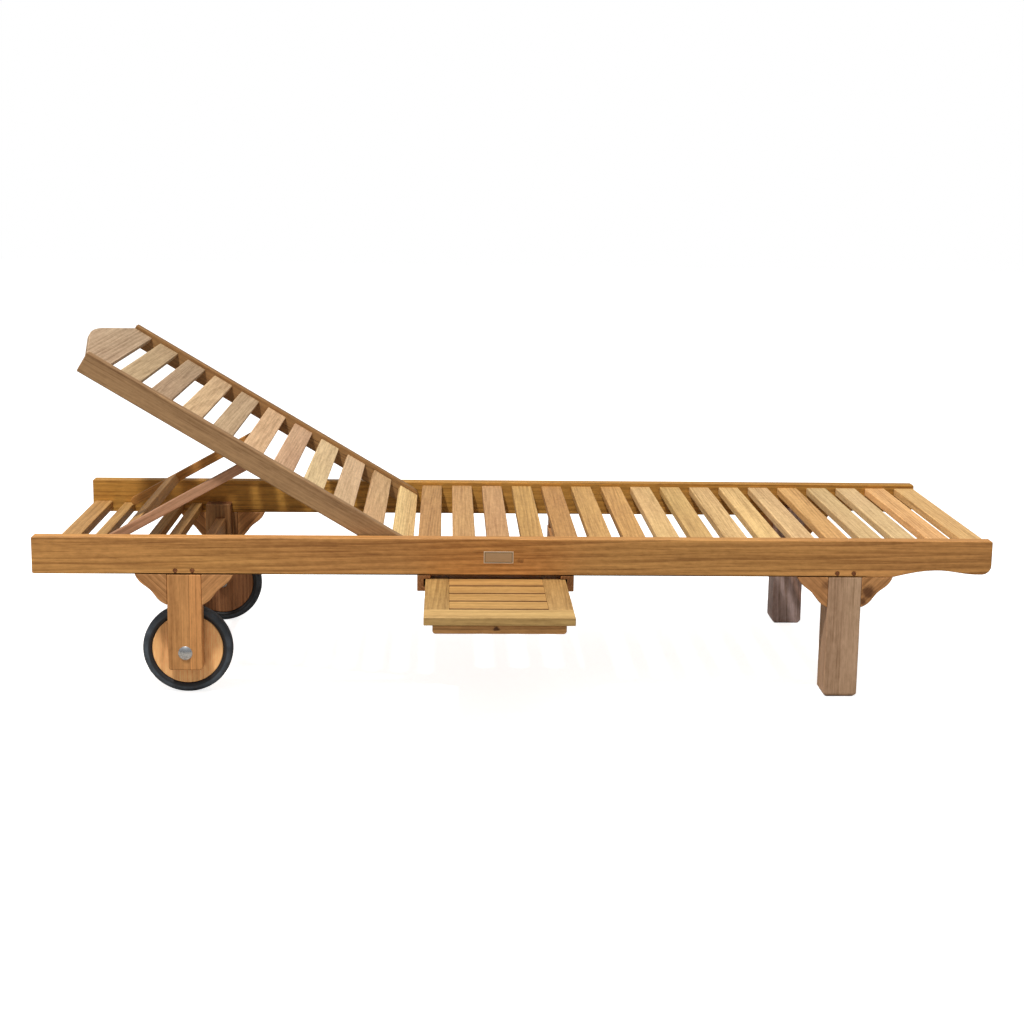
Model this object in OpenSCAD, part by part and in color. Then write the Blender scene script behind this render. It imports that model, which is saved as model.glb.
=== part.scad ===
// Reclining sun lounger: a slatted hardwood frame on two legs and two wheels, with a
// backrest on a hinge, a prop frame that folds under it and a tray that slides out of one side.
// X runs from the head end (-X) to the foot end (+X), Y from the tray side to the far side, Z up.
// The floor is z = 0, and the origin is under the middle of the whole outline.

/* [Frame] */
// Length of the side rails
frame_l = 2000; // [1960:10:2060]
// Width over the side rails
frame_w = 655; // [640:5:680]
// Height of the top of the side rails
frame_h = 341; // [335:1:350]
// Height of a side rail's section
rail_h = 78; // [75:1:80]
// Thickness of a side rail
rail_t = 30; // [28:1:32]

/* [Slats] */
// Width of a seat or backrest slat
slat_w = 48; // [40:1:52]
// Number of seat slats
seat_n = 17; // [15:1:18]
// Thickness of a seat slat
seat_t = 18; // [11:1:20]
// Number of backrest slats
back_n = 10; // [8:1:11]
// Depth of the slats below the top of the rail beside them
slat_drop = 8.5; // [5:0.5:9]

/* [Backrest] */
// Angle of the backrest above the frame
recline = 30.8; // [0:0.1:50]
// Length of a backrest rail
back_l = 782; // [770:1:782]
// Height that the headboard's arch rises past the rails
arch_rise = 47; // [20:1:60]

/* [Legs] */
// Distance of each leg's middle from the middle of the frame
leg_x = 690; // [670:5:700]
// Width of a leg along the frame
leg_w = 71; // [60:1:74]
// Depth of a foot leg across the frame
leg_t = 67; // [60:1:68]

/* [Wheels] */
// Diameter over the tyre
wheel_d = 188; // [180:1:196]
// Diameter of the wooden disc
disc_d = 148; // [130:1:152]
// Width of the tyre
wheel_w = 27; // [24:1:30]

/* [Tray] */
// Width of the tray along the frame
tray_w = 292; // [270:1:296]
// How far the tray is pulled out past the side rail
tray_out = 300; // [0:1:300]
// Middle of the tray along the frame
tray_x = -45.5; // [-60:0.5:-40]

/* [Hidden] */
SEAT_SLATS = [for (i = [1:seat_n]) str("seat_slat_", i)];
BACK_SLATS = [for (i = [1:back_n]) str("back_slat_", i)];
$fn = 64;
teak = "#b87c48";
pale_teak = "#d2a06a";
grey_teak = "#a5805f";
steel = "#c3c6c8";
black = "#23262b";
skin = 1;                                   // how far a cutter runs past the face it cuts

// Side rails
rail_face = frame_w / 2;
rail_in = rail_face - rail_t;
rail_z = frame_h - rail_h;
rail_ease = 4;                              // the eased corners at the rails' ends
toe_round = 20;                             // the nose at the foot end's lower corner
toe_crest = 14.4;                           // the arch in the lower edge, between brace and nose
toe_rise = 6;                               // the nose's underside above the rail's

// Seat and head end
seat_x = -208;                              // near edge of the first seat slat
seat_end = frame_l / 2 - 2;
seat_pitch = (seat_end - slat_w - seat_x) / (seat_n - 1);
seat_top = frame_h - slat_drop;
head_top = frame_h - 51;                    // the head slat, just under the flat backrest
head_t = 21;
head_slat_w = 42;
head_slat_x = -frame_l / 2 + 5;
batten_top = frame_h - 55;
batten_w = 25;
batten_x = [-925, -808, -763];

// Backrest, modelled lying flat round its hinge, with u running from the hinge to the head
hinge_x = -247.6;
hinge_z = frame_h - 28;
back_top = 23.4;                            // top of the backrest rails above the hinge
back_rail_h = 45;
back_rail_t = 23;
back_gap = 2.5;                             // between a side rail and a backrest rail
back_face = rail_in - back_gap;
back_in = back_face - back_rail_t;
back_foot = -30.5;
back_t = 12;
back_slat_u = -25.5;
board_w = 47;
board_u = back_foot + back_l - board_w;
board_gap = 22;                             // between the last slat and the headboard
back_pitch = (board_u - board_gap - slat_w - back_slat_u) / (back_n - 1);
arch_r = 400;                               // the crown of the headboard's arch
arch_slope = 0.2;                           // its straight flanks
arch_half = arch_r * sin(atan(arch_slope));
hinge_r = 5;
hinge_depth = 18;                           // the pin's length in the side rail
hinge_reach = 15;                           // and in the backrest rail
pin_end_gap = 1;                            // free space past a turning pin's end
bore_gap = 0.1;                             // a turning pin's clearance in its bore
collar_r = 9;
collar_gap = 0.4;                           // free space beside a pin's collar

// Prop frame
prop_ratio = 1.95;                          // turn of the prop for each degree of the backrest
prop_u = 355;
prop_w = -10;
prop_len = 382;                             // pivot to the middle of the rounded end
prop_h = 20;
prop_t = 20;
prop_face = back_in - 3;
bar_w = 30;
bar_from_tip = 98;
prop_pin_r = 4;
prop_pin_depth = 15;
prop_head_r = 8;
prop_head_h = 4;

// Legs, braces and stretchers
tongue_t = leg_t - rail_t;
tongue_top = rail_z + 27;
tongue_w = leg_w - 12;                      // a wheel leg's tongue is narrower than the leg
shoulder_z = 200;                           // underside of a wheel leg's inner part
wheel_leg_z = 57;
wheel_leg_round = 6;
foot_chamfer = 7;
brace_l = 66;
brace_wave = [4, 2.2];                      // bulge and ripple of a brace's curved edge
stretcher_t = 23;
stretcher_h = 50;
stretcher_top = rail_z - 7;

// Wheels
axle_z = wheel_d / 2;
wheel_out = rail_in - 1.5;                  // the tyre's outer side
disc_inset = 3;
tyre_round = 9;                             // the tread's shoulders
tyre_inner_round = 7;                       // the edges beside the disc
axle_r = 6;
cap_r = 15;
cap_h = 5.5;
spacer_r = 12;
nut_r = 10;
nut_h = 9;

// Plugs and plate
plug_r = 4;
plug_depth = 8;
plug_proud = 0.3;
plug_dx = 17.5;
plug_z = rail_z + 7.5;
plate = [62, 0.8, 25.5];
plate_x = -40;
plate_z = rail_z + 39;

// Tray and its guides
tray_len = 430;
tray_t = 16.4;
tray_z = rail_z - 24.5;
tray_edge_w = 61;                           // the front and rear rails
stile_w = 49;
tray_n = 5;
tray_gap = 4;
tray_front = -rail_face - tray_out;
grip = [258, 20, 17];
grip_inset = 3;
grip_round = 6;
guide_wall = 14;
guide_side = 3.5;                           // side play of the tray
guide_lip = 13.5;
guide_h = 34;
groove_play = 0.5;
guide_end = 179;
groove_end = -rail_face + tray_len + 1;
hanger = [24, 40];

// Moves everything across, so that the outline's middle is over the origin.
side_shift = (tray_out - cap_h) / 2;
module placed() {
    translate([0, side_shift, 0]) children();
}

// Sets children down on one side of the frame: -1 the near side, 1 the far side.
module on_side(side) {
    if (side > 0) {
        children();
    } else {
        mirror([0, 1, 0]) children();
    }
}

// Stands an outline drawn in X and Z up, from y = from to y = to.
module stand(from, to) {
    translate([0, to, 0]) rotate([90, 0, 0]) linear_extrude(to - from) children();
}

// Tips a flat-modelled backrest part up to its angle.
module on_back() {
    placed() translate([hinge_x, 0, hinge_z]) rotate([0, recline, 0]) children();
}

// Hangs a prop part, modelled along -X from its pivot, on the backrest.
module on_prop() {
    on_back() translate([-prop_u, 0, prop_w]) rotate([0, -prop_ratio * recline, 0]) children();
}

// A cylinder along Y from y = from to y = to.
module rod(r, from, to) {
    translate([0, to, 0]) rotate([90, 0, 0]) cylinder(r = r, h = to - from);
}

// Points on an arc of radius r about (x, z), from one angle to another.
function arc(x, z, r, from, to) = [
    for (k = [0:8]) let (a = from + (to - from) * k / 8) [x + r * cos(a), z + r * sin(a)]
];

// Height of a rail's lower edge from the brace, s = 0, over the crest, s = 0.5, to the nose, s = 1.
function toe_edge(s) = s < 0.5
    ? toe_crest * sin(180 * s)
    : toe_rise + (toe_crest - toe_rise) * pow(cos(min(90, 200 * (s - 0.5))), 2);

// A side rail from the side, with a wave under its foot end that runs out in a nose.
module rail_outline() {
    half = frame_l / 2;
    ease = half - rail_ease;
    nose = half - toe_round;
    brace_end = leg_x + leg_w / 2 + brace_l;
    polygon(concat(
        arc(ease, frame_h - rail_ease, rail_ease, 0, 90),
        arc(-ease, frame_h - rail_ease, rail_ease, 90, 180),
        arc(-ease, rail_z + rail_ease, rail_ease, 180, 270),
        [for (k = [0:23]) let (s = k / 24) [brace_end + (nose - brace_end) * s, rail_z + toe_edge(s)]],
        arc(nose, rail_z + toe_rise + toe_round, toe_round, 270, 360)
    ));
}

module side_rail(side) {
    on_side(side) difference() {
        stand(rail_in, rail_face) rail_outline();
        plug_places() rod(plug_r, rail_face - plug_depth, rail_face + skin);
        translate([hinge_x, 0, hinge_z]) rod(hinge_r, rail_in - skin, rail_in + hinge_depth);
    }
}

module plug_places() {
    for (leg = [-1, 1], dx = [-1, 1]) {
        translate([leg * leg_x + dx * plug_dx, 0, plug_z]) children();
    }
}

module near_rail() {
    color(teak) placed() side_rail(-1);
}

module far_rail() {
    color(teak) placed() side_rail(1);
}

module rail_plugs() {
    color(grey_teak) placed() for (side = [-1, 1]) on_side(side) {
        plug_places() rod(plug_r, rail_face - plug_depth, rail_face + plug_proud);
    }
}

module name_plate() {
    color(steel) placed() translate([plate_x, -rail_face - plate.y / 2, plate_z]) {
        cube(plate, center = true);
    }
}

module cross_slat(x, width, thick, top) {
    placed() translate([x, -rail_in, top - thick]) cube([width, 2 * rail_in, thick]);
}

module seat_slat(i) {
    color(pale_teak) cross_slat(seat_x + i * seat_pitch, slat_w, seat_t, seat_top);
}

module head_slat() {
    color(pale_teak) cross_slat(head_slat_x, head_slat_w, head_t, head_top);
}

module prop_battens() {
    color(pale_teak) for (x = batten_x) cross_slat(x, batten_w, head_t, batten_top);
}

// A foot leg: a post under the rail and a tongue inside it, with the bottom chamfered on three sides.
module foot_leg(side) {
    half = leg_w / 2;
    c = foot_chamfer;
    front = [[-half, c], [c - half, 0], [half - c, 0], [half, c], [half, tongue_top], [-half, tongue_top]];
    deep = [
        [rail_face - c, 0], [rail_face, c], [rail_face, rail_z], [rail_in, rail_z],
        [rail_in, tongue_top], [rail_face - leg_t, tongue_top], [rail_face - leg_t, 0]
    ];
    on_side(side) translate([leg_x, 0, 0]) intersection() {
        stand(rail_face - leg_t, rail_face) polygon(front);
        translate([-half, 0, 0]) rotate([90, 0, 90]) linear_extrude(leg_w) polygon(deep);
    }
}

module near_foot_leg() {
    color(grey_teak) placed() foot_leg(-1);
}

module far_foot_leg() {
    color(grey_teak) placed() foot_leg(1);
}

// A wheel leg is a board flush with the rail, with a thicker shoulder above the wheel.
module wheel_leg(side) {
    half = leg_w / 2;
    r = wheel_leg_round;
    on_side(side) translate([-leg_x, 0, 0]) difference() {
        union() {
            stand(rail_in, rail_face) {
                translate([-half, wheel_leg_z + r]) square([leg_w, rail_z - wheel_leg_z - r]);
                translate([r - half, wheel_leg_z]) square([leg_w - 2 * r, r + skin]);
                for (x = [r - half, half - r]) translate([x, wheel_leg_z + r]) circle(r);
            }
            translate([-half, rail_face - leg_t, shoulder_z]) {
                cube([tongue_w, tongue_t, tongue_top - shoulder_z]);
            }
        }
        translate([0, 0, axle_z]) rod(axle_r, rail_in - skin, rail_face + skin);
    }
}

module near_wheel_leg() {
    color(teak) placed() wheel_leg(-1);
}

module far_wheel_leg() {
    color(teak) placed() wheel_leg(1);
}

// A wave-edged corner block, with its square corner at the origin, below the rail and beside the leg.
module brace_outline() {
    wave = function (s) brace_wave[0] * sin(180 * s) + brace_wave[1] * sin(540 * s);
    polygon(concat(
        [[0, 0]],
        [for (k = [0:24]) let (s = k / 24, d = wave(s) / sqrt(2)) [brace_l * (1 - s) + d, -brace_l * s - d]]
    ));
}

module corner_braces() {
    color(teak) placed() for (side = [-1, 1], leg = [-1, 1], dx = [-1, 1]) on_side(side) {
        translate([leg * leg_x + dx * leg_w / 2, 0, rail_z]) mirror([dx < 0 ? 1 : 0, 0, 0]) {
            stand(rail_in, rail_face) brace_outline();
        }
    }
}

module stretcher(x) {
    half = rail_face - leg_t;
    placed() translate([x - stretcher_t / 2, -half, stretcher_top - stretcher_h]) {
        cube([stretcher_t, 2 * half, stretcher_h]);
    }
}

module foot_stretcher() {
    color(grey_teak) stretcher(leg_x);
}

module wheel_stretcher() {
    color(grey_teak) stretcher(-leg_x);
}

// A pin set in the side rail, with a collar that keeps the backrest central.
module hinge_pins() {
    color(steel) placed() for (side = [-1, 1]) on_side(side) translate([hinge_x, 0, hinge_z]) {
        rod(hinge_r, back_face - hinge_reach, rail_in + hinge_depth);
        rod(collar_r, back_face + collar_gap, rail_in);
    }
}

module axle_bolt() {
    disc_out = wheel_out - disc_inset;
    disc_in = wheel_out - wheel_w + disc_inset;
    cap_ball = (cap_r * cap_r + cap_h * cap_h) / (2 * cap_h);
    rod(axle_r, disc_in - nut_h - 2, rail_face);
    rod(spacer_r, disc_out + collar_gap, rail_in);
    rod(spacer_r, disc_in - 2, disc_in - collar_gap);
    rotate([90, 0, 0]) translate([0, 0, 2 - disc_in]) cylinder(r = nut_r, h = nut_h, $fn = 6);
    intersection() {
        translate([0, rail_face + cap_h - cap_ball, 0]) sphere(cap_ball, $fn = 96);
        rod(cap_r, rail_face, rail_face + cap_h);
    }
}

module axle_bolts() {
    color(steel) placed() for (side = [-1, 1]) on_side(side) translate([-leg_x, 0, axle_z]) axle_bolt();
}

// One guide: a channel under the rail that the tray's edge slides in, stopped at its far end.
module tray_guide() {
    slot = tray_w / 2 + guide_side;
    lip = slot - guide_lip;
    difference() {
        translate([lip, -rail_face, rail_z - guide_h]) {
            cube([guide_lip + guide_wall, guide_end + rail_face, guide_h]);
        }
        translate([lip - skin, -rail_face - skin, tray_z - groove_play]) {
            cube([guide_lip + skin, groove_end + rail_face + skin, tray_t + 2 * groove_play]);
        }
    }
}

module tray_guides() {
    color(grey_teak) placed() for (flip = [0, 1]) {
        translate([tray_x, 0, 0]) mirror([flip, 0, 0]) tray_guide();
    }
}

// Blocks that hang the guides' inner ends from the seat slats above them.
module guide_hangers() {
    top = seat_top - seat_t;
    guide_mid = tray_w / 2 + guide_side + (guide_wall - guide_lip) / 2;
    color(grey_teak) placed() for (flip = [-1, 1]) {
        translate([tray_x + flip * guide_mid - hanger.x / 2, guide_end - hanger.y, rail_z]) {
            cube([hanger.x, hanger.y, top - rail_z]);
        }
    }
}

module back_rail(side) {
    r = back_rail_h / 2 - 1;
    mid = back_top - back_rail_h / 2;
    on_side(side) difference() {
        stand(back_in, back_face) {
            translate([-back_foot - back_l, mid - back_rail_h / 2]) square([back_l - r, back_rail_h]);
            translate([-back_foot - r, mid - 1]) square([r, 2]);
            for (z = [mid - 1, mid + 1]) translate([-back_foot - r, z]) circle(r);
        }
        rod(hinge_r + bore_gap, back_face - hinge_reach - pin_end_gap, back_face + skin);
        translate([-prop_u, 0, prop_w]) rod(prop_pin_r, back_in - skin, back_in + prop_pin_depth);
    }
}

module near_back_rail() {
    color(teak) on_back() back_rail(-1);
}

module far_back_rail() {
    color(teak) on_back() back_rail(1);
}

module back_slat(i) {
    u = back_slat_u + i * back_pitch;
    color(pale_teak) on_back() translate([-u - slat_w, -back_in, back_top - slat_drop - back_t]) {
        cube([slat_w, 2 * back_in, back_t]);
    }
}

// The headboard's outline, across the back in Y and up it in u: straight flanks and a round crown.
module headboard_outline() {
    crown = back_foot + back_l + arch_rise;
    shoulder = crown - arch_r * (1 - cos(atan(arch_slope)));
    edge = shoulder - arch_slope * (back_in - arch_half);
    top = [
        for (k = [-12:12]) let (a = atan(arch_slope) * k / 12)
        [crown - arch_r * (1 - cos(a)), arch_r * sin(a)]
    ];
    polygon(concat([[board_u, -back_in], [edge, -back_in]], top, [[edge, back_in], [board_u, back_in]]));
}

module headboard() {
    color(grey_teak) on_back() translate([0, 0, back_top - slat_drop - back_t]) {
        mirror([1, 0, 0]) linear_extrude(back_t) headboard_outline();
    }
}

module prop_pins() {
    tip = prop_face - prop_t;
    color(steel) on_back() for (side = [-1, 1]) on_side(side) translate([-prop_u, 0, prop_w]) {
        rod(prop_pin_r, tip - collar_gap, back_in + prop_pin_depth);
        rod(prop_head_r, prop_face + collar_gap, back_in);
        rod(prop_head_r, tip - collar_gap - prop_head_h, tip - collar_gap);
    }
}

module prop_arm(side) {
    on_side(side) difference() {
        stand(prop_face - prop_t, prop_face) {
            translate([-prop_len, -prop_h / 2]) square([prop_len, prop_h]);
            for (x = [-prop_len, 0]) translate([x, 0]) circle(prop_h / 2);
        }
        rod(prop_pin_r + bore_gap, prop_face - prop_t - skin, prop_face + skin);
    }
}

module near_prop_arm() {
    color(teak) on_prop() prop_arm(-1);
}

module far_prop_arm() {
    color(teak) on_prop() prop_arm(1);
}

module prop_crossbar() {
    half = prop_face - prop_t;
    low = bar_from_tip - prop_h / 2 - prop_len;
    color(grey_teak) on_prop() translate([low, -half, -prop_h / 2]) cube([bar_w, 2 * half, prop_h]);
}

module wheel_place(side) {
    placed() on_side(side) translate([-leg_x, wheel_out, axle_z]) rotate([90, 0, 0]) children();
}

module wheel_disc() {
    difference() {
        translate([0, 0, disc_inset]) cylinder(d = disc_d, h = wheel_w - 2 * disc_inset, $fn = 96);
        cylinder(r = axle_r + bore_gap, h = wheel_w);
    }
}

// Takes the corner off the tyre's section at one edge: flip 0 for the outer edge, 1 for the inner one.
module tyre_corner(edge, r, flip) {
    translate([edge, 0]) mirror([flip, 0]) difference() {
        translate([-r, -skin]) square([r + skin, r + skin]);
        translate([-r, r]) circle(r);
    }
}

// A solid rubber tyre, rounded at its shoulders and beside the disc.
module tyre() {
    rotate_extrude($fn = 128) difference() {
        translate([disc_d / 2, 0]) square([(wheel_d - disc_d) / 2, wheel_w]);
        for (z = [0, 1]) translate([0, z * wheel_w]) mirror([0, z]) {
            tyre_corner(wheel_d / 2, tyre_round, 0);
            tyre_corner(disc_d / 2, tyre_inner_round, 1);
        }
    }
}

module near_wheel_disc() {
    color(pale_teak) wheel_place(-1) wheel_disc();
}

module near_tyre() {
    color(black) wheel_place(-1) tyre();
}

module far_wheel_disc() {
    color(pale_teak) wheel_place(1) wheel_disc();
}

module far_tyre() {
    color(black) wheel_place(1) tyre();
}

// A board of the tray, from x and y, measured from its front edge and its middle.
module tray_board(x, y, width, depth) {
    placed() translate([tray_x + x, tray_front + y, tray_z]) cube([width, depth, tray_t]);
}

module tray_front_rail() {
    color(pale_teak) tray_board(-tray_w / 2, 0, tray_w, tray_edge_w);
}

module tray_rear_rail() {
    color(pale_teak) tray_board(-tray_w / 2, tray_len - tray_edge_w, tray_w, tray_edge_w);
}

module tray_stiles() {
    inner = tray_len - 2 * tray_edge_w;
    color(pale_teak) for (x = [-tray_w / 2, tray_w / 2 - stile_w]) {
        tray_board(x, tray_edge_w, stile_w, inner);
    }
}

module tray_slats() {
    inner = tray_len - 2 * tray_edge_w;
    pitch = (inner - tray_gap) / tray_n;
    half = tray_w / 2 - stile_w;
    color(pale_teak) for (i = [0:tray_n - 1]) {
        tray_board(-half, tray_edge_w + tray_gap + i * pitch, 2 * half, pitch - tray_gap);
    }
}

module tray_grip() {
    r = grip_round;
    back = -tray_front - grip_inset;
    color(teak) placed() translate([tray_x, 0, tray_z - grip.z]) stand(-back, -back + grip.y) {
        translate([-grip.x / 2, r]) square([grip.x, grip.z - r]);
        translate([r - grip.x / 2, 0]) square([grip.x - 2 * r, r + skin]);
        for (x = [r - grip.x / 2, grip.x / 2 - r]) translate([x, r]) circle(r);
    }
}

near_rail();
far_rail();
for (i = [0:seat_n - 1]) seat_slat(i);
head_slat();
prop_battens();
near_foot_leg();
far_foot_leg();
near_wheel_leg();
far_wheel_leg();
corner_braces();
foot_stretcher();
wheel_stretcher();
rail_plugs();
name_plate();
hinge_pins();
axle_bolts();
tray_guides();
guide_hangers();
near_back_rail();
far_back_rail();
for (i = [0:back_n - 1]) back_slat(i);
headboard();
prop_pins();
near_prop_arm();
far_prop_arm();
prop_crossbar();
near_wheel_disc();
near_tyre();
far_wheel_disc();
far_tyre();
tray_front_rail();
tray_rear_rail();
tray_stiles();
tray_slats();
tray_grip();
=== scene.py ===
import math
import random

import bpy
from mathutils import Euler, Matrix, Vector


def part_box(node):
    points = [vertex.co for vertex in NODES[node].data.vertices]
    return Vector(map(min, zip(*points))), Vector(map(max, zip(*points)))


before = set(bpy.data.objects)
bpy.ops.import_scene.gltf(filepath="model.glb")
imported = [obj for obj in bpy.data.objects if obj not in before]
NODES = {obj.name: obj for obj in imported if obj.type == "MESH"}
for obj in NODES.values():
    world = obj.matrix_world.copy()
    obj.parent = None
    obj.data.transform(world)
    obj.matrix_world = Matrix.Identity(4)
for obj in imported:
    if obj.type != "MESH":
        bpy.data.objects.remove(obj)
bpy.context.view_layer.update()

# Places that the looks are drawn round, in metres: how far the legs stand from the middle, the rails'
# undersides and the axles' height.
LEG_X = 0.69
RAIL_BOTTOM = 0.263
AXLE_Z = 0.094

# ---------------------------------------------------------------- camera


def photo_camera():
    """The photograph's viewpoint: in front of the tray side, above the backrest, looking slightly down."""
    place = (-0.1507, -3.65106, 1.1266)
    yaw, pitch, roll = 0.0472, 0.1777, 0.0158
    forward = Vector((math.sin(yaw) * math.cos(pitch), math.cos(yaw) * math.cos(pitch), -math.sin(pitch)))
    level = Vector((math.cos(yaw), -math.sin(yaw), 0))
    upright = level.cross(forward)
    right = level * math.cos(roll) + upright * math.sin(roll)
    up = upright * math.cos(roll) - level * math.sin(roll)
    data = bpy.data.cameras.new("photo_camera")
    data.sensor_width = 36
    data.lens = 60.28
    data.shift_x = -0.0134
    data.shift_y = -0.0482
    data.clip_end = 100
    camera = bpy.data.objects.new("photo_camera", data)
    turn = Matrix((right, up, -forward)).transposed().to_4x4()
    camera.matrix_world = Matrix.Translation(place) @ turn
    bpy.context.scene.collection.objects.link(camera)
    bpy.context.scene.camera = camera


photo_camera()

# ---------------------------------------------------------------- shader helpers


class Graph:
    """Short names for the shader nodes used below. An input that is a socket is linked, any other is set."""

    def __init__(self, tree):
        self.tree = tree

    def put(self, kind, inputs=None, **settings):
        """A new node with these inputs, by name or number, and these settings."""
        node = self.tree.nodes.new("ShaderNode" + kind)
        for key, value in settings.items():
            setattr(node, key, value)
        for key, value in (inputs or {}).items():
            self.feed(node.inputs[key], value)
        return node

    def feed(self, socket, value):
        if isinstance(value, bpy.types.NodeSocket):
            self.tree.links.new(value, socket)
        else:
            socket.default_value = value

    def math(self, operation, *values, clamp=False):
        node = self.put("Math", dict(enumerate(values)), operation=operation, use_clamp=clamp)
        return node.outputs[0]

    def times(self, a, b):
        return self.math("MULTIPLY", a, b)

    def vector(self, operation, *values):
        """The vector that a vector operation gives."""
        return self.put("VectorMath", dict(enumerate(values)), operation=operation).outputs[0]

    def measure(self, operation, *values):
        """The number that a vector operation gives, such as a length or a dot product."""
        return self.put("VectorMath", dict(enumerate(values)), operation=operation).outputs[1]

    def split(self, vector):
        """The X, Y and Z of a vector."""
        return tuple(self.put("SeparateXYZ", {0: vector}).outputs)

    def join(self, x, y, z):
        return self.put("CombineXYZ", {0: x, 1: y, 2: z}).outputs[0]

    def stretch(self, vector, along, across):
        """Coordinates that run at these rates along the grain and across it."""
        return self.vector("MULTIPLY", vector, (along, across, across))

    def scaled(self, vector, factor):
        return self.put("VectorMath", {0: vector, "Scale": factor}, operation="SCALE").outputs[0]

    def noise(self, vector, detail=2.0, rough=0.5, scale=1.0, out="Fac"):
        node = self.put("TexNoise", {"Vector": vector, "Scale": scale, "Detail": detail, "Roughness": rough})
        return node.outputs[out]

    def scatter(self, vector, reach, **look):
        """Noise as a vector, up to half of reach either way."""
        noise = self.noise(vector, out="Color", **look)
        return self.scaled(self.vector("SUBTRACT", noise, (0.5, 0.5, 0.5)), reach)

    def ramp(self, value, low, high, to_low=0.0, to_high=1.0, smooth=True):
        """value from low..high to to_low..to_high, held at the ends."""
        node = self.put("MapRange", {0: value, 1: low, 2: high, 3: to_low, 4: to_high})
        node.interpolation_type = "SMOOTHSTEP" if smooth else "LINEAR"
        return node.outputs[0]

    def band(self, value, low, high, soft=0.001):
        """1 between low and high, with soft sides."""
        rise = self.ramp(value, low - soft, low + soft)
        return self.times(rise, self.ramp(value, high - soft, high + soft, 1, 0))

    def mix(self, factor, a, b, blend="MIX"):
        node = self.put("Mix", data_type="RGBA", blend_type=blend, clamp_factor=True)
        # these numbers are the sockets of the node's colour form
        for index, value in ((0, factor), (6, a), (7, b)):
            self.feed(node.inputs[index], value)
        return node.outputs[2]

    def tint(self, colour, by, amount=1.0):
        """The colour multiplied by another, as far as amount says."""
        return self.mix(amount, colour, by, "MULTIPLY")

    def finish(self, inputs):
        """Ends a material with one shader."""
        self.put("OutputMaterial", {"Surface": self.put("BsdfPrincipled", inputs).outputs[0]})


def new_group(name, inputs, outputs):
    """A shader node group. inputs and outputs are (name, kind, default)."""
    tree = bpy.data.node_groups.new(name, "ShaderNodeTree")
    for side, sockets in (("INPUT", inputs), ("OUTPUT", outputs)):
        for label, kind, default in sockets:
            socket = tree.interface.new_socket(label, in_out=side, socket_type="NodeSocket" + kind)
            if default is not None:
                socket.default_value = default
    return Graph(tree), tree.nodes.new("NodeGroupInput").outputs, tree.nodes.new("NodeGroupOutput").inputs


def rgb(red, green, blue):
    """A colour as it shows on screen, 0 to 255, in linear light by the sRGB curve."""
    def linear(value):
        value /= 255
        return value / 12.92 if value <= 0.04045 else ((value + 0.055) / 1.055) ** 2.4
    return (linear(red), linear(green), linear(blue), 1.0)


def blank(name):
    """A new material with an empty graph."""
    material = bpy.data.materials.new(name)
    material.use_nodes = True
    material.node_tree.nodes.clear()
    return material, Graph(material.node_tree)


def edge_mask(g, radius=0.0035):
    """1 on the rounded edges, from how far the normal turns within radius."""
    normal = g.put("NewGeometry").outputs["Normal"]
    bevel = g.put("Bevel", {"Radius": radius}, samples=4).outputs[0]
    return g.ramp(g.measure("DOT_PRODUCT", normal, bevel), 0.995, 0.90)


# ---------------------------------------------------------------- wood


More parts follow.
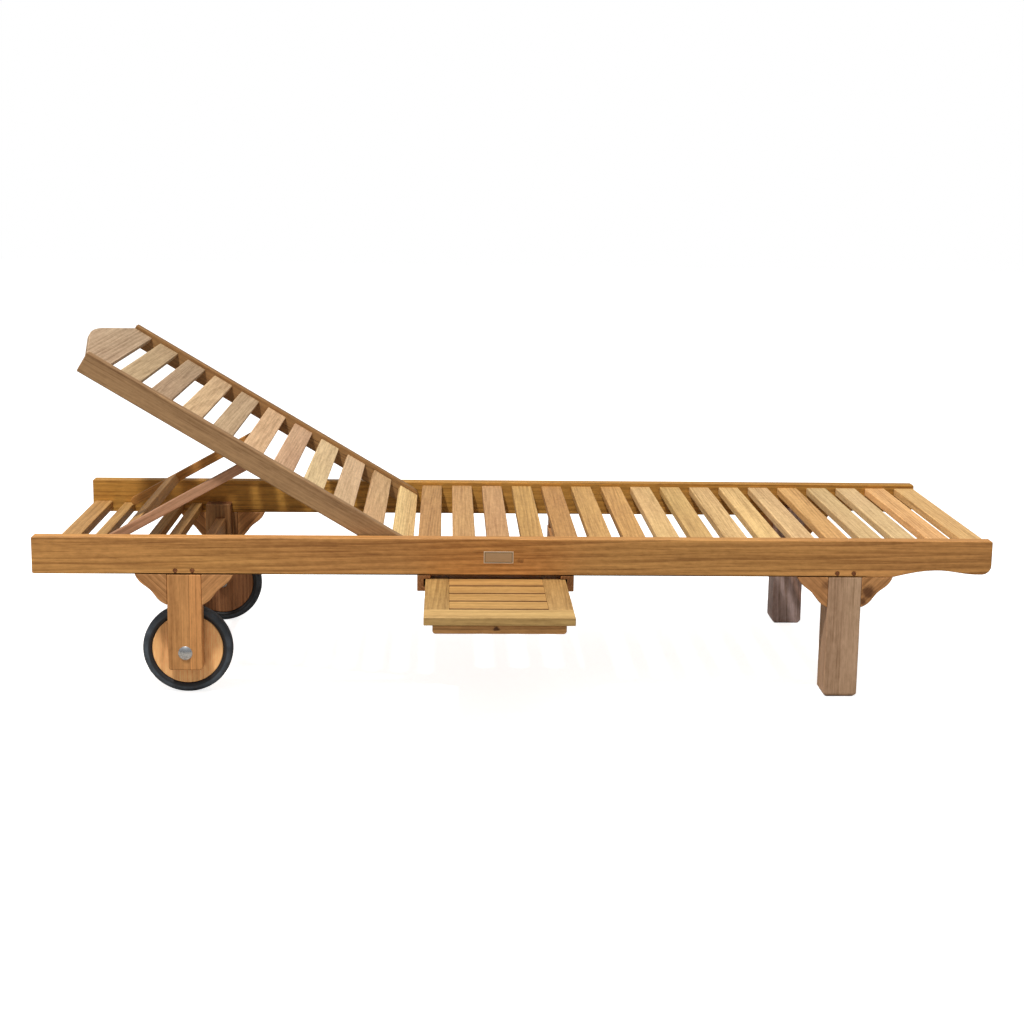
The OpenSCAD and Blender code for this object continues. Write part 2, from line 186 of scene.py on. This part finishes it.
def make_wood_group():
    """Solid teak. Point runs along the grain in X, in metres; Seed moves the pattern; Pith is where the
    rings centre. End masks the end grain, Edge the rounded edges, which are painted paler as wear and as a
    painted highlight, and the last input the painted shade in corners where pieces meet."""
    g, inp, out = new_group(
        "teak_wood",
        [
            ("Point", "Vector", None), ("Seed", "Vector", None), ("Pith", "Vector", (0.01, 0.05, 0.09)),
            ("End", "Float", 0.0), ("Tone", "Color", rgb(200, 150, 95)), ("Rings", "Float", 0.4),
            ("Streaks", "Float", 0.35), ("Spacing", "Float", 0.0065), ("Bend", "Float", 0.014),
            ("Edge", "Float", 0.0), ("CornerShade", "Float", 0.0),
        ],
        [("Color", "Color", None), ("Roughness", "Float", None), ("Height", "Float", None)],
    )
    point = inp["Point"]
    shifted = g.vector("ADD", point, inp["Seed"])

    # growth rings: distance from a slanting pith line, bent by slow noise
    across = (0, 1, 1)
    bend = g.scatter(g.stretch(shifted, 1.3, 9), inp["Bend"], detail=2.5)
    along = g.split(point)[0]
    slant = g.join(0.0, g.times(along, 0.022), g.times(along, -0.016))
    cross = g.vector("ADD", g.vector("MULTIPLY", g.vector("ADD", point, bend), across), slant)
    radius = g.measure("LENGTH", g.vector("SUBTRACT", cross, g.vector("MULTIPLY", inp["Pith"], across)))
    drift = g.times(g.noise(g.stretch(shifted, 0.8, 22)), 1.4)
    phase = g.math("FRACT", g.math("ADD", g.math("DIVIDE", radius, inp["Spacing"]), drift))
    ring = g.times(g.ramp(phase, 0.05, 0.86), g.ramp(phase, 0.88, 1.0, 1, 0))
    year = g.noise(g.stretch(shifted, 0.7, 60), detail=1)
    ring = g.times(ring, g.ramp(year, 0.3, 0.68, 0.25, 1))

    # long bands, dark threads, fibres and pores, most of them finer than the one before
    bands = g.noise(g.stretch(shifted, 0.9, 30), detail=3, rough=0.55)
    thread = g.noise(g.stretch(shifted, 2.6, 150), detail=4, rough=0.65)
    dark = g.times(g.ramp(thread, 0.52, 0.70), inp["Streaks"])
    fine = g.noise(g.stretch(shifted, 9, 300), detail=3, rough=0.6)
    fleck = g.noise(g.stretch(shifted, 55, 130), detail=3, rough=0.6)
    fibre = g.noise(g.stretch(shifted, 14, 900), detail=3, rough=0.65)
    pore = g.ramp(g.noise(g.stretch(shifted, 70, 1500), detail=1.5), 0.60, 0.72)
    broad = g.noise(g.stretch(shifted, 2.1, 7))

    tone = g.times(ring, inp["Rings"])
    for layer, reach in ((bands, 0.22), (fine, 0.26), (fleck, 0.16), (fibre, 0.12)):
        tone = g.math("ADD", tone, g.ramp(layer, 0.3, 0.7, -reach, reach, smooth=False))
    tone = g.math("ADD", tone, 0.3, clamp=True)
    pale = g.tint(inp["Tone"], (1.5, 1.52, 1.54, 1))
    deep = g.tint(inp["Tone"], (0.72, 0.64, 0.55, 1))
    colour = g.mix(tone, pale, deep)
    # slow drift between a rosy and a straw cast
    colour = g.mix(g.ramp(broad, 0.3, 0.7), g.tint(colour, (0.97, 0.93, 0.95, 1)), colour)
    colour = g.tint(colour, (0.5, 0.4, 0.3, 1), dark)
    colour = g.tint(colour, (0.4, 0.34, 0.28, 1), g.times(pore, 0.3))
    # end grain drinks more oil and shows the fibres' cut ends
    speck = g.ramp(g.noise(g.stretch(shifted, 900, 900), detail=1), 0.42, 0.62, 0.5, 1)
    colour = g.tint(colour, rgb(176, 142, 116), g.times(inp["End"], speck))
    # rubbed edges are painted paler, partly as wear and partly as a painted highlight, and corners where
    # pieces meet get painted shade
    patchy = g.ramp(g.noise(g.stretch(shifted, 30, 90), detail=3), 0.32, 0.62, 0.35, 1)
    # wear and painted highlight: the rounded edges are painted paler in patches
    wear_and_highlight = g.times(inp["Edge"], patchy)
    colour = g.tint(colour, (1.55, 1.6, 1.65, 1), g.times(wear_and_highlight, 0.45))
    uneven = g.ramp(g.noise(g.stretch(shifted, 40, 40), detail=3), 0.3, 0.7, 0.6, 1)
    colour = g.tint(colour, rgb(122, 84, 54), g.times(inp["CornerShade"], uneven))

    rough = g.ramp(fibre, 0.25, 0.75, 0.47, 0.62)
    rough = g.math("ADD", rough, g.times(pore, 0.12))
    rough = g.math("ADD", rough, g.times(inp["End"], 0.12))
    rough = g.math("SUBTRACT", rough, g.times(wear_and_highlight, 0.1))
    height = g.math("ADD", g.times(fibre, 0.55), g.times(ring, 0.22))
    height = g.math("SUBTRACT", height, g.times(pore, 0.6))
    for socket, value in (("Color", colour), ("Roughness", rough), ("Height", height)):
        g.feed(out[socket], value)
    return g.tree


WOOD = make_wood_group()

# How far to turn the grain's own X onto each direction.
ALONG = {
    "x": Euler((0, 0, 0)),
    "y": Euler((0, 0, -math.pi / 2)),
    "z": Euler((0, math.pi / 2, 0)),
}


def wood(name, node, along, tone, seed, rings=0.4, streaks=0.35, spacing=0.0065, pith=(0, 0.05, 0.09),
         bend=0.014, islands=0.0, fold=None, detail=None):
    """A teak material for one node. tone is its mean colour, its grain runs along, and islands is how far
    the tones of its separate boards differ. fold changes the coordinates, and detail draws on the finished
    colour."""
    material, g = blank(name)
    turn = ALONG[along] if isinstance(along, str) else along
    coords = g.put("TexCoord").outputs
    place = coords["Object"]
    if fold:
        grain = g.put("Mapping", {"Vector": fold(g, place), "Rotation": turn}).outputs[0]
        end = 0.0
    else:
        low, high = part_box(node)
        centre = turn.to_matrix() @ ((low + high) / 2)
        grain = g.put("Mapping", {"Vector": place, "Location": -centre, "Rotation": turn}).outputs[0]
        axis = turn.to_matrix().inverted() @ Vector((1, 0, 0))
        end = g.math("ABSOLUTE", g.measure("DOT_PRODUCT", coords["Normal"], tuple(axis)))
        end = g.ramp(end, 0.6, 0.9)
    draw = random.Random(seed)
    offset = tuple(draw.uniform(-4, 4) for _ in range(3))
    if islands:
        own = g.put("NewGeometry").outputs["Random Per Island"]
        offset = g.vector("ADD", offset, g.join(g.times(own, 37.0), g.times(own, 23.0), 0.0))
    # painted shade: ambient occlusion finds the corners where pieces meet, and the teak is darkened there
    corners = g.put("AmbientOcclusion", {"Distance": 0.012}, samples=4).outputs["AO"]
    group = g.put("Group", node_tree=WOOD)
    values = {
        "Point": grain, "Seed": offset, "Pith": pith, "End": end, "Tone": rgb(*tone), "Rings": rings,
        "Streaks": streaks, "Spacing": spacing, "Bend": bend, "Edge": edge_mask(g),
        "CornerShade": g.ramp(corners, 0.65, 0.1, 0, 0.7),
    }
    for key, value in values.items():
        g.feed(group.inputs[key], value)
    colour = group.outputs["Color"]
    if islands:
        lift = g.ramp(own, 0, 1, 1 - islands, 1 + islands, smooth=False)
        colour = g.tint(colour, g.put("CombineColor", {0: lift, 1: lift, 2: lift}).outputs[0])
    if detail:
        colour = detail(g, colour, place)
    bump = g.put("Bump", {"Height": group.outputs["Height"], "Strength": 0.35, "Distance": 0.0006})
    g.finish({
        "Base Color": colour, "Roughness": group.outputs["Roughness"], "Normal": bump.outputs[0],
        "Specular IOR Level": 0.3,
    })
    return material


# ---------------------------------------------------------------- marks drawn on the wood


def spots(*places):
    """Knots and marks, each (x, y, z, radius, strength, wide). wide is how far it is drawn out along X, Y
    and Z."""
    def draw(g, colour, place):
        ragged = g.vector("ADD", place, g.scatter(place, 0.012, detail=3, rough=0.6, scale=150))
        for x, y, z, radius, strength, wide in places:
            away = g.measure("LENGTH", g.vector("DIVIDE", g.vector("SUBTRACT", ragged, (x, y, z)), wide))
            colour = g.tint(colour, rgb(92, 58, 34), g.ramp(away, radius * 0.3, radius, strength, 0))
        return colour
    return draw


def both(*details):
    """One detail drawn over another."""
    def draw(g, colour, place):
        for detail in details:
            colour = detail(g, colour, place)
        return colour
    return draw


def rail_joint(g, colour, place):
    """A strip glued along the rail's lower edge by each leg: paler, with a fine dark line above it."""
    x, _, z = g.split(place)
    wander = g.times(g.math("SUBTRACT", g.noise(g.stretch(place, 6, 1)), 0.5), 0.003)
    height = g.math("ADD", z, wander)
    # where each strip starts and ends along the rail, the height of its top and how pale it is
    for low, high, top, pale in ((-0.775, -0.595, 0.2695, 0.25), (0.56, 0.83, 0.2795, 0.5)):
        here = g.band(x, low, high, 0.02)
        strip = g.times(here, g.ramp(height, top - 0.0005, top + 0.0005, 1, 0))
        line = g.times(here, g.band(height, top - 0.0006, top + 0.0006, 0.0006))
        colour = g.tint(colour, (1.3, 1.3, 1.4, 1), g.times(strip, pale))
        colour = g.tint(colour, rgb(110, 74, 50), g.times(line, 0.55))
    return colour


def leg_strip(g, colour, place):
    """A wheel leg's board is glued up from a wide piece and two narrow, paler ones."""
    x = g.split(place)[0]
    strip = g.ramp(x, -0.6805, -0.6795)
    seams = g.math("ADD", g.band(x, -0.6806, -0.6796, 0.0006), g.band(x, -0.6672, -0.6660, 0.0006))
    colour = g.tint(colour, (1.3, 1.25, 1.2, 1), g.times(strip, 0.5))
    return g.tint(colour, rgb(120, 78, 46), g.times(seams, 0.45))


def staves(contrast):
    """Upright staves glued side by side, each of its own tone, with a thin dark seam between."""
    width = 0.021
    # moves the seams to where they belong, and picks the tones
    start = 5.0065

    def draw(g, colour, place):
        count = g.math("DIVIDE", g.math("ADD", g.split(place)[0], start), width)
        own = g.put("TexWhiteNoise", {"W": g.math("FLOOR", count)}, noise_dimensions="1D").outputs["Value"]
        colour = g.tint(colour, (0.42, 0.38, 0.36, 1), g.times(own, contrast))
        seam = g.band(g.math("FRACT", count), 0.0, 0.03, 0.02)
        return g.tint(colour, rgb(110, 72, 44), g.times(seam, 0.4))
    return draw


def brace_fold(g, place):
    """Folds all eight braces onto one another, so that each one's grain can follow its long edge."""
    half_leg = 0.035
    x, y, z = g.split(place)
    from_leg = g.math("ABSOLUTE", g.math("SUBTRACT", g.math("ABSOLUTE", x), LEG_X))
    return g.join(g.math("SUBTRACT", from_leg, half_leg), y, g.math("SUBTRACT", z, RAIL_BOTTOM))


def painted_light_streak(g, colour, place):
    """A painted streak of light that runs slantwise down the far foot leg."""
    x, _, z = g.split(place)
    wander = g.times(g.noise(g.stretch(place, 12, 12)), 0.016)
    slant = g.math("ADD", g.math("ADD", x, g.times(z, 0.42)), wander)
    return g.tint(colour, (1.9, 1.75, 1.6, 1), g.times(g.band(slant, 0.752, 0.764, 0.005), 0.7))


def gap_edge_darkening(g, colour, place):
    """Darker along both edges of the gaps between the tray's slats."""
    pitch = 0.0608
    first_gap = -0.41725
    count = g.math("ADD", g.math("DIVIDE", g.math("SUBTRACT", g.split(place)[1], first_gap), pitch), 0.5)
    away = g.times(g.math("ABSOLUTE", g.math("SUBTRACT", g.math("FRACT", count), 0.5)), pitch)
    ragged = g.times(g.noise(g.stretch(place, 60, 60)), 0.002)
    darkening = g.ramp(g.math("ADD", away, ragged), 0.0045, 0.0062, 0.85, 0)
    return g.tint(colour, rgb(112, 74, 44), darkening)


# ---------------------------------------------------------------- other materials


def rubber(name):
    """Blue-black solid rubber, dusty on the tread, with fine scuffs and painted shade beside the disc."""
    shade_radius = 0.082
    material, g = blank(name)
    point = g.put("TexCoord").outputs["Object"]
    dust = g.noise(point, detail=5, rough=0.6, scale=38)
    fine = g.noise(point, detail=3, rough=0.6, scale=900)
    scuff = g.noise(g.vector("MULTIPLY", point, (420, 60, 420)), detail=3, rough=0.7)
    colour = g.mix(g.ramp(dust, 0.35, 0.75), rgb(54, 61, 70), rgb(86, 97, 108))
    # painted shade: the side beside the disc is painted dark
    from_axle = g.vector("MULTIPLY", g.vector("SUBTRACT", point, (-LEG_X, 0, AXLE_Z)), (1, 0, 1))
    inner_shade = g.ramp(g.measure("LENGTH", from_axle), shade_radius - 0.0015, shade_radius + 0.0015, 1, 0)
    colour = g.mix(inner_shade, colour, rgb(34, 36, 40))
    colour = g.mix(g.times(g.ramp(scuff, 0.6, 0.75), 0.35), colour, rgb(112, 114, 116))
    colour = g.mix(g.times(edge_mask(g, 0.002), 0.3), colour, rgb(120, 124, 128))
    rough = g.math("ADD", g.ramp(dust, 0.3, 0.7, 0.42, 0.6), g.times(fine, 0.08))
    height = g.math("ADD", g.times(fine, 0.5), g.times(scuff, 0.5))
    bump = g.put("Bump", {"Height": height, "Strength": 0.3, "Distance": 0.0004})
    g.finish({
        "Base Color": colour, "Roughness": rough, "Normal": bump.outputs[0], "Specular IOR Level": 0.55,
    })
    return material


def steel(name):
    """Stainless steel with a fine lay of scratches, dulled by handling."""
    bright = (222, 225, 229)
    dull = tuple(0.82 * level for level in bright)
    material, g = blank(name)
    point = g.put("TexCoord").outputs["Object"]
    lay = g.noise(g.stretch(point, 20, 900), detail=3, rough=0.6)
    smear = g.noise(point, detail=3, scale=160)
    colour = g.mix(g.ramp(smear, 0.3, 0.75), rgb(*bright), rgb(*dull))
    colour = g.mix(g.times(g.ramp(lay, 0.5, 0.8), 0.25), colour, rgb(120, 122, 126))
    rough = g.math("ADD", g.ramp(smear, 0.3, 0.7, 0.14, 0.3), g.times(lay, 0.08))
    bump = g.put("Bump", {"Height": lay, "Strength": 0.15, "Distance": 0.0002})
    g.finish({"Base Color": colour, "Metallic": 1.0, "Roughness": rough, "Normal": bump.outputs[0]})
    return material


def plate_metal(name):
    """The blank plate: brushed nickel with a polished border round a satin field."""
    material, g = blank(name)
    low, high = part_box("name_plate")
    point = g.put("TexCoord").outputs["Object"]
    place = g.split(point)
    gaps = []
    for axis in (0, 2):
        gaps.append(g.math("SUBTRACT", place[axis], low[axis]))
        gaps.append(g.math("SUBTRACT", high[axis], place[axis]))
    inset = gaps[0]
    for gap in gaps[1:]:
        inset = g.math("MINIMUM", inset, gap)
    field = g.ramp(inset, 0.0020, 0.0026)
    groove = g.times(g.ramp(inset, 0.0018, 0.0022), g.ramp(inset, 0.0030, 0.0034, 1, 0))
    lay = g.noise(g.vector("MULTIPLY", point, (60, 400, 2600)), detail=3, rough=0.6)
    smear = g.noise(point, detail=3, scale=120)
    colour = g.mix(field, rgb(250, 240, 222), rgb(206, 182, 150))
    colour = g.mix(g.times(g.ramp(lay, 0.45, 0.75), 0.3), colour, rgb(120, 104, 88))
    colour = g.mix(groove, colour, rgb(70, 56, 44))
    rough = g.math("ADD", g.ramp(smear, 0.3, 0.7, 0.3, 0.42), g.times(field, 0.12))
    height = g.math("SUBTRACT", g.times(lay, 0.15), groove)
    bump = g.put("Bump", {"Height": height, "Strength": 0.5, "Distance": 0.0003})
    g.finish({"Base Color": colour, "Metallic": 0.75, "Roughness": rough, "Normal": bump.outputs[0]})
    return material


# ---------------------------------------------------------------- shapes


def make_smooth_nodes():
    """A modifier that shades every face smooth, so that rounded edges and curved outlines look curved."""
    tree = bpy.data.node_groups.new("smooth_faces", "GeometryNodeTree")
    tree.interface.new_socket("Geometry", in_out="INPUT", socket_type="NodeSocketGeometry")
    tree.interface.new_socket("Geometry", in_out="OUTPUT", socket_type="NodeSocketGeometry")
    start, end = tree.nodes.new("NodeGroupInput"), tree.nodes.new("NodeGroupOutput")
    shade = tree.nodes.new("GeometryNodeSetShadeSmooth")
    tree.links.new(start.outputs[0], shade.inputs[0])
    tree.links.new(shade.outputs[0], end.inputs[0])
    return tree


SMOOTH = make_smooth_nodes()


def soften(node, width, segments):
    """Rounds a CAD node's edges with modifiers. Its own mesh stays as it is."""
    thing = NODES[node]
    weld = thing.modifiers.new("weld", "WELD")
    weld.merge_threshold = 1e-5
    flat = thing.modifiers.new("flat", "DECIMATE")
    flat.decimate_type = "DISSOLVE"
    flat.angle_limit = math.radians(0.3)
    thing.modifiers.new("smooth", "NODES").node_group = SMOOTH
    bevel = thing.modifiers.new("bevel", "BEVEL")
    bevel.width = width
    bevel.segments = segments
    bevel.limit_method = "ANGLE"
    bevel.angle_limit = math.radians(34)
    bevel.use_clamp_overlap = False
    bevel.miter_outer = "MITER_SHARP"
    normals = thing.modifiers.new("normals", "WEIGHTED_NORMAL")
    normals.weight = 60
    normals.keep_sharp = False


def dress(node, material, edge, segments=3):
    """Gives a CAD node its material and rounds its edges, unless edge is 0."""
    thing = NODES[node]
    for slot in thing.material_slots:
        slot.material = material
    if edge:
        soften(node, edge, segments)


# ---------------------------------------------------------------- dress every node

UP_BACK = Euler((0, -math.radians(30.8), 0))
ALONG_ARM = Euler((0, math.radians(29.3), 0))
BRACE_GRAIN = Euler((0, math.radians(45), 0))
THICK_EDGE = 0.0025
SLAT_EDGE = 0.0022
seeds = iter(range(100, 400))


def board(node, along, tone, edge=0.002, **look):
    """Dresses a node in teak with the next seed."""
    dress(node, wood(node + "_teak", node, along, tone, next(seeds), **look), edge)


rail_marks = spots((0.005, -0.18, 0.295, 0.007, 0.5, (1.5, 1.5, 1)))
board("near_rail", "x", (189, 138, 78), THICK_EDGE, rings=0.5, streaks=0.55, spacing=0.011,
      pith=(0, -0.12, 0.14), detail=both(rail_joint, rail_marks))
board("far_rail", "x", (182, 135, 62), THICK_EDGE, rings=0.5, streaks=0.5, spacing=0.009,
      pith=(0, 0.12, 0.12), detail=rail_joint)

# each seat slat's own tone, from the backrest to the foot end
SEAT_TONES = [
    (175, 135, 85), (185, 145, 95), (180, 140, 95), (185, 145, 85), (180, 135, 80),
    (190, 150, 90), (195, 150, 90), (205, 170, 115), (195, 160, 100), (210, 175, 120),
    (215, 180, 120), (210, 175, 125), (205, 160, 100), (200, 170, 120), (210, 180, 130),
    (230, 180, 120), (215, 175, 115),
]
for i, tone in enumerate(SEAT_TONES):
    side = -1 if i % 2 else 1
    pith = (0, side * (0.05 + 0.02 * (i % 6)), -0.03 - 0.012 * (i % 4))
    board(f"seat_slat_{i + 1}", "y", tone, SLAT_EDGE, rings=0.24 if i % 3 else 0.4,
          streaks=0.45 if i % 4 == 1 else 0.25, spacing=0.0055 + 0.0008 * (i % 5), pith=pith)
board("head_slat", "y", (180, 140, 86), THICK_EDGE)
board("prop_battens", "y", (176, 138, 84), SLAT_EDGE, islands=0.08)

# each backrest slat's own tone, from the hinge to the top
BACK_TONES = [
    (225, 195, 135), (195, 160, 115), (205, 175, 135), (205, 180, 135), (190, 155, 120),
    (205, 170, 130), (180, 155, 120), (200, 170, 130), (165, 140, 110), (170, 145, 110),
]
# one slat was sawn close to the tree's middle, so its rings make pointed arches
ARCHED = 8
for i, tone in enumerate(BACK_TONES):
    side = -1 if i % 2 else 1
    look = {"rings": 0.26, "spacing": 0.0055 + 0.0008 * (i % 4)}
    look["pith"] = (0, side * (0.05 + 0.02 * (i % 5)), 0.03 + 0.014 * (i % 4))
    if i == ARCHED:
        look = {"rings": 0.5, "spacing": 0.0032, "bend": 0.03, "pith": (0, 0.004, -0.012)}
    board(f"back_slat_{i + 1}", "y", tone, SLAT_EDGE, streaks=0.3, **look)
board("headboard", "y", (172, 148, 119), THICK_EDGE, rings=0.45, streaks=0.4, spacing=0.008,
      pith=(0, 0.03, 0.05))
board("near_back_rail", UP_BACK, (152, 121, 84), THICK_EDGE, rings=0.35, streaks=0.5, spacing=0.006,
      pith=(0, -0.1, 0.1))
board("far_back_rail", UP_BACK, (146, 110, 68), THICK_EDGE, rings=0.35, streaks=0.4, pith=(0, 0.1, 0.1))

board("near_foot_leg", "z", (183, 152, 122), THICK_EDGE, rings=0.16, streaks=0.3, spacing=0.006,
      pith=(0, 0.12, 0.07))
# the far foot leg carries a painted streak of light
board("far_foot_leg", "z", (187, 167, 164), THICK_EDGE, rings=0.5, streaks=0.5, spacing=0.009,
      pith=(0, 0.12, -0.07), detail=painted_light_streak)
board("near_wheel_leg", "z", (191, 138, 84), 0.003, rings=0.1, streaks=0.25, spacing=0.008,
      pith=(0, 0.15, 0.08), detail=leg_strip)
board("far_wheel_leg", "z", (150, 112, 72), 0.003, rings=0.5, streaks=0.4, pith=(0, -0.1, 0.08),
      detail=leg_strip)
brace_marks = spots(
    (0.740, -0.18, 0.231, 0.020, 0.8, (1, 2, 1)),
    (0.728, -0.18, 0.210, 0.012, 0.7, (1, 2, 1)),
    (0.655, -0.18, 0.245, 0.014, 0.5, (1.6, 2, 1)),
)
board("corner_braces", BRACE_GRAIN, (190, 139, 88), rings=0.5, streaks=0.5, islands=0.05,
      fold=brace_fold, detail=brace_marks)
board("foot_stretcher", "y", (150, 118, 92), SLAT_EDGE)
board("wheel_stretcher", "y", (170, 128, 82), SLAT_EDGE)
board("rail_plugs", "y", (150, 104, 66), 0.0002, rings=0.0, islands=0.05)

board("near_prop_arm", ALONG_ARM, (177, 136, 105), rings=0.4, streaks=0.4)
board("far_prop_arm", ALONG_ARM, (184, 132, 70), rings=0.4, streaks=0.4)
board("prop_crossbar", "y", (176, 134, 80))

board("tray_front_rail", "x", (185, 152, 96), 0.0018, rings=0.3, streaks=0.25)
board("tray_rear_rail", "x", (182, 138, 90), 0.0018, rings=0.3, streaks=0.25)
board("tray_stiles", "y", (173, 138, 84), 0.0014, rings=0.4, streaks=0.35, islands=0.06)
board("tray_slats", "x", (180, 140, 82), 0.0012, rings=0.3, streaks=0.25, islands=0.03,
      detail=gap_edge_darkening)
board("tray_grip", "x", (186, 138, 84), detail=spots((-0.052, -0.477, 0.2322, 0.006, 0.9, (1.6, 1, 1))))
board("tray_guides", "y", (176, 132, 84), 0.0015, islands=0.04)
board("guide_hangers", "z", (140, 100, 64), 0.0015, islands=0.04)

board("near_wheel_disc", "z", (254, 199, 133), rings=0.2, streaks=0.2, spacing=0.008,
      pith=(0, 0.02, 0.2), detail=staves(0.12))
board("far_wheel_disc", "z", (196, 140, 96), rings=0.5, streaks=0.5, spacing=0.008,
      pith=(0, 0.02, 0.2), detail=staves(1.0))
for tyre in ("near_tyre", "far_tyre"):
    dress(tyre, rubber(tyre + "_rubber"), 0)
for pins in ("hinge_pins", "prop_pins", "axle_bolts"):
    dress(pins, steel(pins + "_steel"), 0.0005, 2)
dress("name_plate", plate_metal("plate_metal"), 0.0002, 2)

# ---------------------------------------------------------------- stage and light


def floor():
    """A white ground that the camera sees almost evenly bright, and that throws a softer light upwards."""
    material, g = blank("floor_paint")
    tone = g.noise(g.put("TexCoord").outputs["Object"], detail=3, scale=3)
    white = g.mix(g.ramp(tone, 0.3, 0.7), rgb(250, 250, 249), rgb(254, 254, 254))
    seen = g.put("LightPath").outputs["Is Camera Ray"]
    g.finish({
        "Base Color": g.mix(seen, rgb(178, 173, 165), white), "Roughness": 0.85, "Specular IOR Level": 0.2,
        "Emission Color": (1, 1, 1, 1), "Emission Strength": g.times(seen, 0.8),
    })
    reach = 14
    corners = [(-reach, -reach, 0), (reach, -reach, 0), (reach, reach, 0), (-reach, reach, 0)]
    mesh = bpy.data.meshes.new("floor")
    mesh.from_pydata(corners, [], [(0, 1, 2, 3)])
    thing = bpy.data.objects.new("floor", mesh)
    mesh.materials.append(material)
    bpy.context.scene.collection.objects.link(thing)


def key_lamp():
    """A small square lamp high over the head end and in front, so that its shadows are fairly sharp."""
    place = Vector((-1.25, -1.45, 4.4))
    aim = Vector((0, 0.1, 0.3))
    data = bpy.data.lights.new("key", "AREA")
    data.shape = "RECTANGLE"
    data.size = data.size_y = 0.3
    data.energy = 172
    data.color = (1, 0.97, 0.93)
    thing = bpy.data.objects.new("key", data)
    thing.location = place
    thing.rotation_euler = (aim - place).to_track_quat("-Z", "Y").to_euler()
    bpy.context.scene.collection.objects.link(thing)


def studio():
    """White to the camera, and a soft light that is stronger from above."""
    from_below, from_above = 0.24, 0.50
    world = bpy.data.worlds.new("studio")
    bpy.context.scene.world = world
    world.use_nodes = True
    g = Graph(world.node_tree)
    background = world.node_tree.nodes["Background"]
    height = g.split(g.put("TexCoord").outputs["Generated"])[2]
    lit = g.ramp(height, -0.1, 0.9, from_below, from_above)
    seen = g.put("LightPath").outputs["Is Camera Ray"]
    g.feed(background.inputs["Color"], (1, 1, 1, 1))
    g.feed(background.inputs["Strength"], g.put("Mix", {0: seen, 2: lit, 3: 1.0}).outputs[0])
    view = bpy.context.scene.view_settings
    view.view_transform = "Standard"
    view.look = "None"


floor()
key_lamp()
studio()
